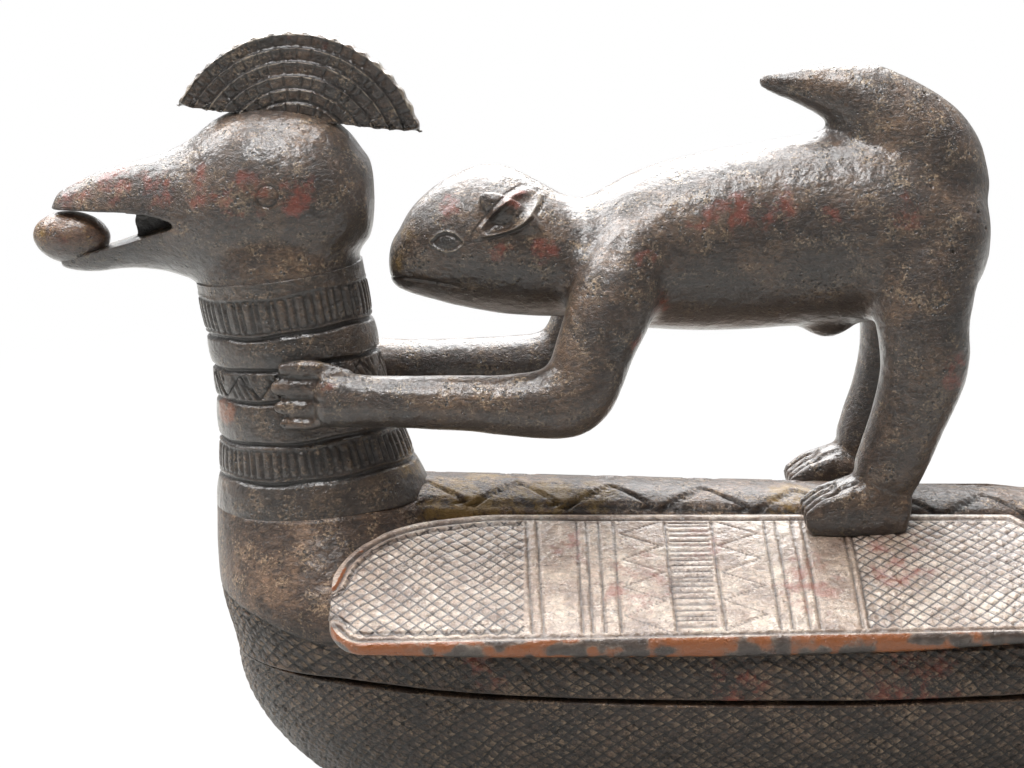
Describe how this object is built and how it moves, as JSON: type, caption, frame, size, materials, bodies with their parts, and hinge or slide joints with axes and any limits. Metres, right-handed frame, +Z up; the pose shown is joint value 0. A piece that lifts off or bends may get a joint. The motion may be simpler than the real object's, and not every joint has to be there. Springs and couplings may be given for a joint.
{
  "type": "ritual container",
  "caption": "Bird-shaped carved wooden bowl with a lift-off lid; a monkey on the bird's back grips its neck and serves as the handle.",
  "frame": {"origin": "centre of the foot's underside, on the floor below the middle of the hull", "axes": "+X toward the bird's tail, so the bird looks along -X; +Y toward the bird's right side; +Z up"},
  "size_m": [0.5706, 0.19, 0.3713],
  "materials": {
    "dark_wood": "dark stained, hand rubbed",
    "worn_wood": "stain worn thin at the edges",
    "nut_wood": "smooth, rubbed"
  },
  "bodies": {
    "bowl": {"bowl": "dark_wood"},
    "lid": {"lid_shell": "dark_wood", "wing_left": "worn_wood", "wing_right": "worn_wood", "tail_fan": "dark_wood", "bird_neck": "dark_wood", "bird_head": "dark_wood", "bird_crest": "dark_wood", "beak_nut": "nut_wood", "monkey_torso": "dark_wood", "monkey_head": "dark_wood", "monkey_tail": "dark_wood", "monkey_arm_left": "dark_wood", "monkey_arm_right": "dark_wood", "monkey_leg_left": "dark_wood", "monkey_leg_right": "dark_wood"}
  },
  "joints": [
    {"name": "lid_lift", "type": "slide", "parent": "bowl", "child": "lid", "axis": [0, 0, 1], "range_m": [0, 0.15]}
  ]
}
